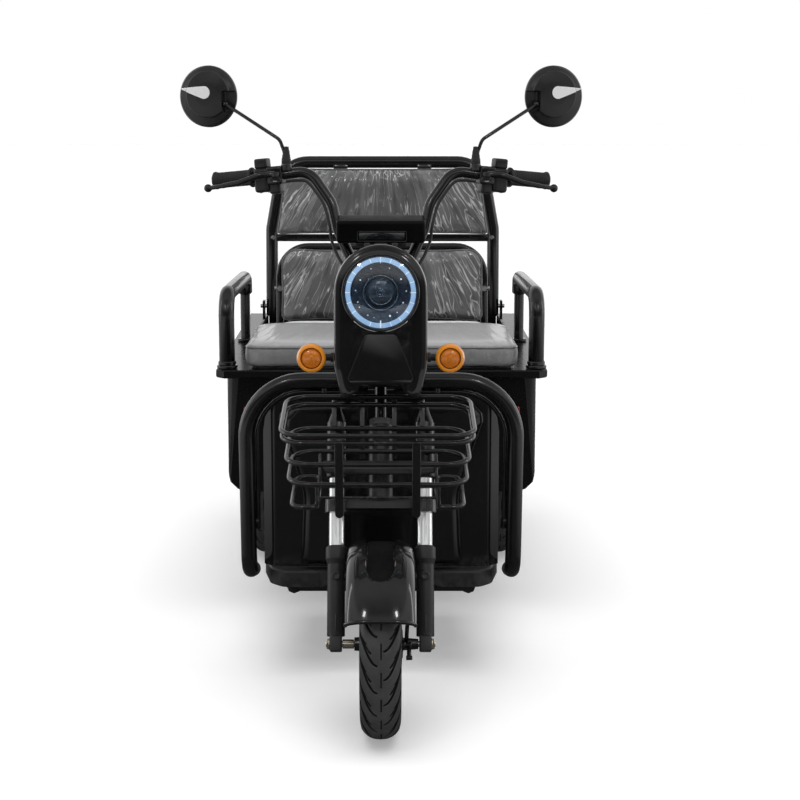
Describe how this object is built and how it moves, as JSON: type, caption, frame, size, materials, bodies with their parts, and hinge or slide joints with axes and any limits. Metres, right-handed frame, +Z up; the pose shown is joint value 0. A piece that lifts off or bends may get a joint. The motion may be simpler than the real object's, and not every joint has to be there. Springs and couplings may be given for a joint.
{
  "type": "electric tricycle",
  "caption": "Small electric passenger tricycle with a leading fork, front basket, leg shield, step-through floor and two bench seats over a low cargo body.",
  "frame": {"origin": "on the ground, under the middle of the overall length and width", "axes": "+Z up, the front faces -Y, +X is the rider's left"},
  "size_m": [0.8446, 2.1112, 1.3025],
  "materials": {
    "gloss_black": "gloss",
    "satin_black": "satin",
    "frame_black": "satin",
    "grip_rubber": "matte",
    "tyre": "matte",
    "black_plastic": "satin",
    "chrome": "polished",
    "yellow_zinc": "satin",
    "amber_lens": "gloss",
    "red_lens": "gloss",
    "lamp_glass": "gloss",
    "grey_vinyl": "satin",
    "battery_case": "satin"
  },
  "bodies": {
    "chassis": {"main_frame": "frame_black", "battery": "battery_case", "crash_bar": "satin_black", "leg_shield": "gloss_black", "floor_board": "black_plastic", "body_shell": "gloss_black", "cargo_floor": "black_plastic", "tail_light_bar": "red_lens", "driver_backrest_frame": "satin_black", "driver_backrest_pad": "grey_vinyl", "rear_seat_cushion": "grey_vinyl", "left_armrest": "satin_black", "right_armrest": "satin_black", "left_rear_spring": "chrome", "right_rear_spring": "chrome"},
    "steering": {"left_fork_tube": "chrome", "right_fork_tube": "chrome", "fork_crown": "satin_black", "fork_shroud": "satin_black", "front_basket": "gloss_black", "headlight_cowl": "gloss_black", "headlight_unit": "black_plastic", "headlight_lens": "lamp_glass", "left_turn_signal": "amber_lens", "right_turn_signal": "amber_lens", "handlebar": "satin_black", "left_grip": "grip_rubber", "left_controls": "black_plastic", "right_controls": "black_plastic", "instrument_housing": "black_plastic", "left_brake_cable": "grip_rubber", "right_brake_cable": "grip_rubber"},
    "fork_lower": {"left_fork_slider": "satin_black", "right_fork_slider": "satin_black", "front_fender": "gloss_black", "front_axle": "yellow_zinc"},
    "front_wheel": {"front_tyre": "tyre", "front_rim": "gloss_black"},
    "brake_arm": {"front_brake_arm": "yellow_zinc"},
    "throttle": {"throttle_grip": "grip_rubber"},
    "left_lever": {"left_brake_lever": "satin_black"},
    "right_lever": {"right_brake_lever": "satin_black"},
    "horn": {"horn_button": "red_lens"},
    "light": {"light_switch": "yellow_zinc"},
    "mirror_stalk_left": {"left_mirror_stalk": "satin_black"},
    "mirror_left": {"left_mirror": "black_plastic"},
    "mirror_stalk_right": {"right_mirror_stalk": "satin_black"},
    "mirror_right": {"right_mirror": "black_plastic"},
    "key": {"ignition_key": "chrome"},
    "pedal": {"brake_pedal": "satin_black"},
    "driver_seat": {"driver_seat_pan": "black_plastic", "driver_seat_cushion": "grey_vinyl"},
    "rear_backrest": {"rear_backrest_frame": "satin_black", "rear_backrest_pad": "grey_vinyl"},
    "tailgate": {"tailgate": "gloss_black"},
    "rear_axle": {"rear_axle": "frame_black"},
    "rear_wheel_left": {"left_rear_tyre": "tyre", "left_rear_rim": "gloss_black"},
    "rear_wheel_right": {"right_rear_tyre": "tyre", "right_rear_rim": "gloss_black"}
  },
  "joints": [
    {"name": "steer", "type": "hinge", "parent": "chassis", "child": "steering", "pos_m": [0, -0.7389, 0.41331], "axis": [0, 0.3746, 0.9272], "range_deg": [-40, 40]},
    {"name": "fork_travel", "type": "slide", "parent": "steering", "child": "fork_lower", "axis": [0, 0.3746, 0.9272], "range_m": [0, 0.05], "stiffness_N_per_m": 10000, "springref_m": -0.06},
    {"name": "front_wheel_spin", "type": "hinge", "parent": "fork_lower", "child": "front_wheel", "pos_m": [0, -0.8695, 0.1835], "axis": [1, 0, 0], "continuous": true},
    {"name": "front_brake_arm_turn", "type": "hinge", "parent": "fork_lower", "child": "brake_arm", "pos_m": [0, -0.8975, 0.19], "axis": [-1, 0, 0], "range_deg": [0, 26], "stiffness_Nm_per_rad": 0.5, "springref_deg": -11.46},
    {"name": "rear_suspension", "type": "hinge", "parent": "chassis", "child": "rear_axle", "pos_m": [0, 0.1605, 0.215], "axis": [1, 0, 0], "range_deg": [0, 4], "stiffness_Nm_per_rad": 6500, "springref_deg": -4.58, "deforming": ["left_rear_spring", "right_rear_spring"]},
    {"name": "rear_wheel_left_spin", "type": "hinge", "parent": "rear_axle", "child": "rear_wheel_left", "pos_m": [0.315, 0.5805, 0.1835], "axis": [1, 0, 0], "continuous": true},
    {"name": "rear_wheel_right_spin", "type": "hinge", "parent": "rear_axle", "child": "rear_wheel_right", "pos_m": [-0.315, 0.5805, 0.1835], "axis": [1, 0, 0], "continuous": true},
    {"name": "throttle_twist", "type": "hinge", "parent": "steering", "child": "throttle", "pos_m": [-0.266, -0.4769, 1.07222], "axis": [-0.9416, 0.3225, -0.0967], "range_deg": [0, 60], "stiffness_Nm_per_rad": 0.3, "springref_deg": -17.19},
    {"name": "left_brake_squeeze", "type": "hinge", "parent": "steering", "child": "left_lever", "pos_m": [0.218, -0.52734, 1.07115], "axis": [0, 0, 1], "range_deg": [0, 11], "stiffness_Nm_per_rad": 4, "springref_deg": -11.46},
    {"name": "right_brake_squeeze", "type": "hinge", "parent": "steering", "child": "right_lever", "pos_m": [-0.218, -0.52734, 1.07115], "axis": [0, 0, -1], "range_deg": [0, 11], "stiffness_Nm_per_rad": 4, "springref_deg": -11.46},
    {"name": "horn_press", "type": "slide", "parent": "steering", "child": "horn", "axis": [0.324, -0.9461, 0], "range_m": [0, 0.0025], "stiffness_N_per_m": 400, "springref_m": -0.002},
    {"name": "light_slide", "type": "slide", "parent": "steering", "child": "light", "axis": [-0.9416, 0.3225, -0.0967], "range_m": [-0.004, 0.004]},
    {"name": "left_mirror_swing", "type": "hinge", "parent": "steering", "child": "mirror_stalk_left", "pos_m": [0.196, -0.50487, 1.10081], "axis": [0, 0, 1], "range_deg": [-60, 60]},
    {"name": "right_mirror_swing", "type": "hinge", "parent": "steering", "child": "mirror_stalk_right", "pos_m": [-0.196, -0.50487, 1.10081], "axis": [0, 0, 1], "range_deg": [-60, 60]},
    {"name": "left_mirror_turn", "type": "hinge", "parent": "mirror_stalk_left", "child": "mirror_left", "pos_m": [0.324, -0.46487, 1.223], "axis": [0, 0, 1], "range_deg": [-12, 12]},
    {"name": "right_mirror_turn", "type": "hinge", "parent": "mirror_stalk_right", "child": "mirror_right", "pos_m": [-0.324, -0.46487, 1.223], "axis": [0, 0, 1], "range_deg": [-12, 12]},
    {"name": "key_turn", "type": "hinge", "parent": "steering", "child": "key", "pos_m": [0.068, -0.56927, 0.9746], "axis": [0, 0.9781, 0.2079], "range_deg": [0, 90]},
    {"name": "brake_pedal_press", "type": "hinge", "parent": "chassis", "child": "pedal", "pos_m": [-0.17, -0.3095, 0.256], "axis": [1, 0, 0], "range_deg": [0, 20], "stiffness_Nm_per_rad": 6, "springref_deg": -11.46},
    {"name": "driver_seat_lift", "type": "hinge", "parent": "chassis", "child": "driver_seat", "pos_m": [0, -0.0865, 0.607], "axis": [1, 0, 0], "range_deg": [0, 60]},
    {"name": "rear_backrest_fold", "type": "hinge", "parent": "chassis", "child": "rear_backrest", "pos_m": [0, 0.9105, 0.64], "axis": [1, 0, 0], "range_deg": [0, 70]},
    {"name": "tailgate_drop", "type": "hinge", "parent": "chassis", "child": "tailgate", "pos_m": [0, 1.0085, 0.437], "axis": [-1, 0, 0], "range_deg": [0, 90]}
  ],
  "couplings": [
    {"joint": "front_brake_arm_turn", "follows": "right_brake_squeeze", "ratio": 2.3}
  ]
}
